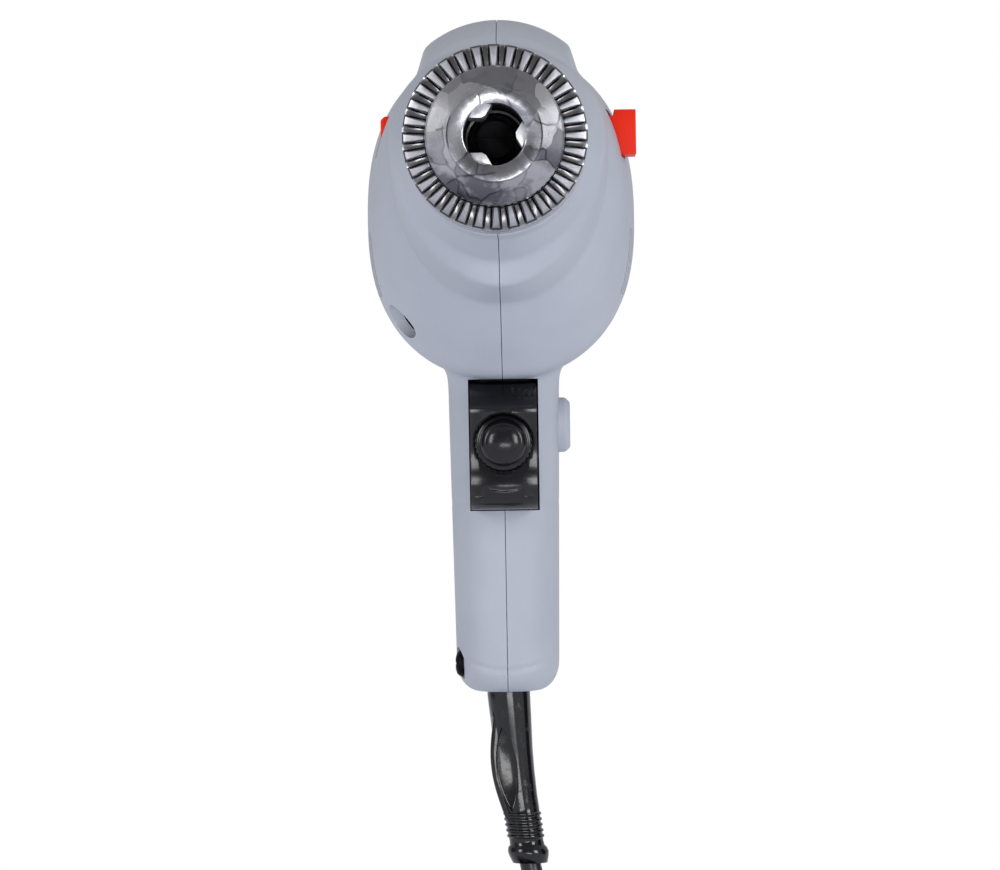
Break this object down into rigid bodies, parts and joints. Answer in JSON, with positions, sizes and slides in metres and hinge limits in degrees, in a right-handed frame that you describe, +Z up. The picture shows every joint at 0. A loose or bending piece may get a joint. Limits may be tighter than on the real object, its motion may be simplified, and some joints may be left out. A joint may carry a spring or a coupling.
{
  "type": "corded impact drill",
  "caption": "Corded pistol-grip impact drill: keyed three-jaw chuck, two-part moulded housing, trigger with speed dial, lock-on button, cross-slide hammer selector and coiled mains lead.",
  "frame": {"origin": "middle of the pistol grip, where a hand or a holder closes round it", "axes": "-Y along the spindle and out of the chuck, +Z up from the grip to the body, +X the operator's left, where the lock-on button is"},
  "size_m": [0.0986, 0.226, 0.3693],
  "materials": {
    "shell": "fine-textured moulded nylon",
    "black_plastic": "polished moulded plastic",
    "red_plastic": "satin moulded plastic",
    "rubber": "smooth flexible PVC",
    "chuck_steel": "polished, bright",
    "dark_steel": "oiled, blackened",
    "bearing_steel": "ground",
    "winding_copper": "enamelled copper wire",
    "laminations": "stacked steel sheet",
    "brass": "drawn",
    "carbon": "pressed graphite",
    "cast_alloy": "die cast"
  },
  "bodies": {
    "housing": {"housing_left": "shell", "housing_right": "shell", "gear_plate": "cast_alloy", "spindle_bush": "brass", "switch_body": "black_plastic", "cord_clamp": "black_plastic", "cord_boot": "rubber", "cord": "rubber", "cord_coil": "rubber", "cord_tail": "rubber", "coil_tie": "rubber", "plug_body": "rubber", "rear_bearing_cup": "rubber", "plug_pin_1": "chuck_steel", "plug_pin_2": "chuck_steel", "fixed_ratchet": "dark_steel", "trigger_spring": "dark_steel", "lock_spring": "dark_steel", "clamp_screw_1": "dark_steel", "clamp_screw_2": "dark_steel", "front_bearing_outer": "bearing_steel", "rear_bearing_outer": "bearing_steel", "field_core": "laminations", "field_coil_upper": "winding_copper", "field_coil_lower": "winding_copper", "brush_left": "carbon", "brush_right": "carbon", "brush_holder_left": "brass", "brush_holder_right": "brass", "housing_screw_1": "dark_steel", "housing_screw_2": "dark_steel", "housing_screw_3": "dark_steel", "housing_screw_4": "dark_steel", "housing_screw_5": "dark_steel", "housing_screw_6": "dark_steel"},
    "bearing_slide": {"spindle_bearing_outer": "bearing_steel"},
    "spindle": {"spindle": "bearing_steel", "spindle_bearing_inner": "bearing_steel", "turning_ratchet": "dark_steel", "drive_gear": "dark_steel", "chuck_body": "chuck_steel", "chuck_screw": "dark_steel"},
    "sleeve": {"chuck_sleeve": "chuck_steel", "chuck_nut_left": "dark_steel", "chuck_nut_right": "dark_steel"},
    "jaw_1": {"chuck_jaw_1": "dark_steel"},
    "jaw_2": {"chuck_jaw_2": "dark_steel"},
    "jaw_3": {"chuck_jaw_3": "dark_steel"},
    "armature": {"armature_shaft": "bearing_steel", "armature_core": "laminations", "armature_winding": "winding_copper", "commutator": "winding_copper", "cooling_fan": "black_plastic", "front_bearing_inner": "bearing_steel", "rear_bearing_inner": "bearing_steel"},
    "selector": {"mode_selector": "red_plastic"},
    "trigger": {"trigger": "black_plastic"},
    "dial": {"speed_dial": "black_plastic"},
    "lock": {"lock_button": "shell"}
  },
  "joints": [
    {"name": "hammer_slide", "type": "slide", "parent": "housing", "child": "bearing_slide", "axis": [0, 1, 0], "range_m": [0, 0.0012]},
    {"name": "spindle_spin", "type": "hinge", "parent": "bearing_slide", "child": "spindle", "pos_m": [0, -0.11236, 0.1], "axis": [0, -1, 0], "continuous": true},
    {"name": "sleeve_turn", "type": "hinge", "parent": "spindle", "child": "sleeve", "pos_m": [0, -0.14236, 0.1], "axis": [0, 1, 0], "range_deg": [-1044, 2950]},
    {"name": "jaw_1_slide", "type": "slide", "parent": "spindle", "child": "jaw_1", "axis": [-0.2588, -0.9659, 0], "range_m": [-0.00582, 0.01642]},
    {"name": "jaw_2_slide", "type": "slide", "parent": "spindle", "child": "jaw_2", "axis": [0.1294, -0.9659, 0.2241], "range_m": [-0.00582, 0.01642]},
    {"name": "jaw_3_slide", "type": "slide", "parent": "spindle", "child": "jaw_3", "axis": [0.1294, -0.9659, -0.2241], "range_m": [-0.00582, 0.01642]},
    {"name": "armature_spin", "type": "hinge", "parent": "housing", "child": "armature", "pos_m": [0, -0.00236, 0.082], "axis": [0, -1, 0], "continuous": true},
    {"name": "selector_slide", "type": "slide", "parent": "housing", "child": "selector", "axis": [1, 0, 0], "range_m": [-0.005, 0]},
    {"name": "trigger_pull", "type": "slide", "parent": "housing", "child": "trigger", "axis": [0, 1, 0], "range_m": [0, 0.005], "stiffness_N_per_m": 1200, "springref_m": -0.002, "deforming": ["trigger_spring"]},
    {"name": "dial_turn", "type": "hinge", "parent": "trigger", "child": "dial", "pos_m": [0, -0.04136, 0.0285], "axis": [0, -1, 0], "range_deg": [-135, 135]},
    {"name": "lock_press", "type": "slide", "parent": "housing", "child": "lock", "axis": [-1, 0, 0], "range_m": [0, 0.0026], "stiffness_N_per_m": 900, "springref_m": -0.0015, "deforming": ["lock_spring"]}
  ],
  "couplings": [
    {"joint": "jaw_1_slide", "follows": "sleeve_turn", "m_per_rad": 0.00031831},
    {"joint": "jaw_2_slide", "follows": "sleeve_turn", "m_per_rad": 0.00031831},
    {"joint": "jaw_3_slide", "follows": "sleeve_turn", "m_per_rad": 0.00031831},
    {"joint": "armature_spin", "follows": "spindle_spin", "ratio": -6.5}
  ]
}
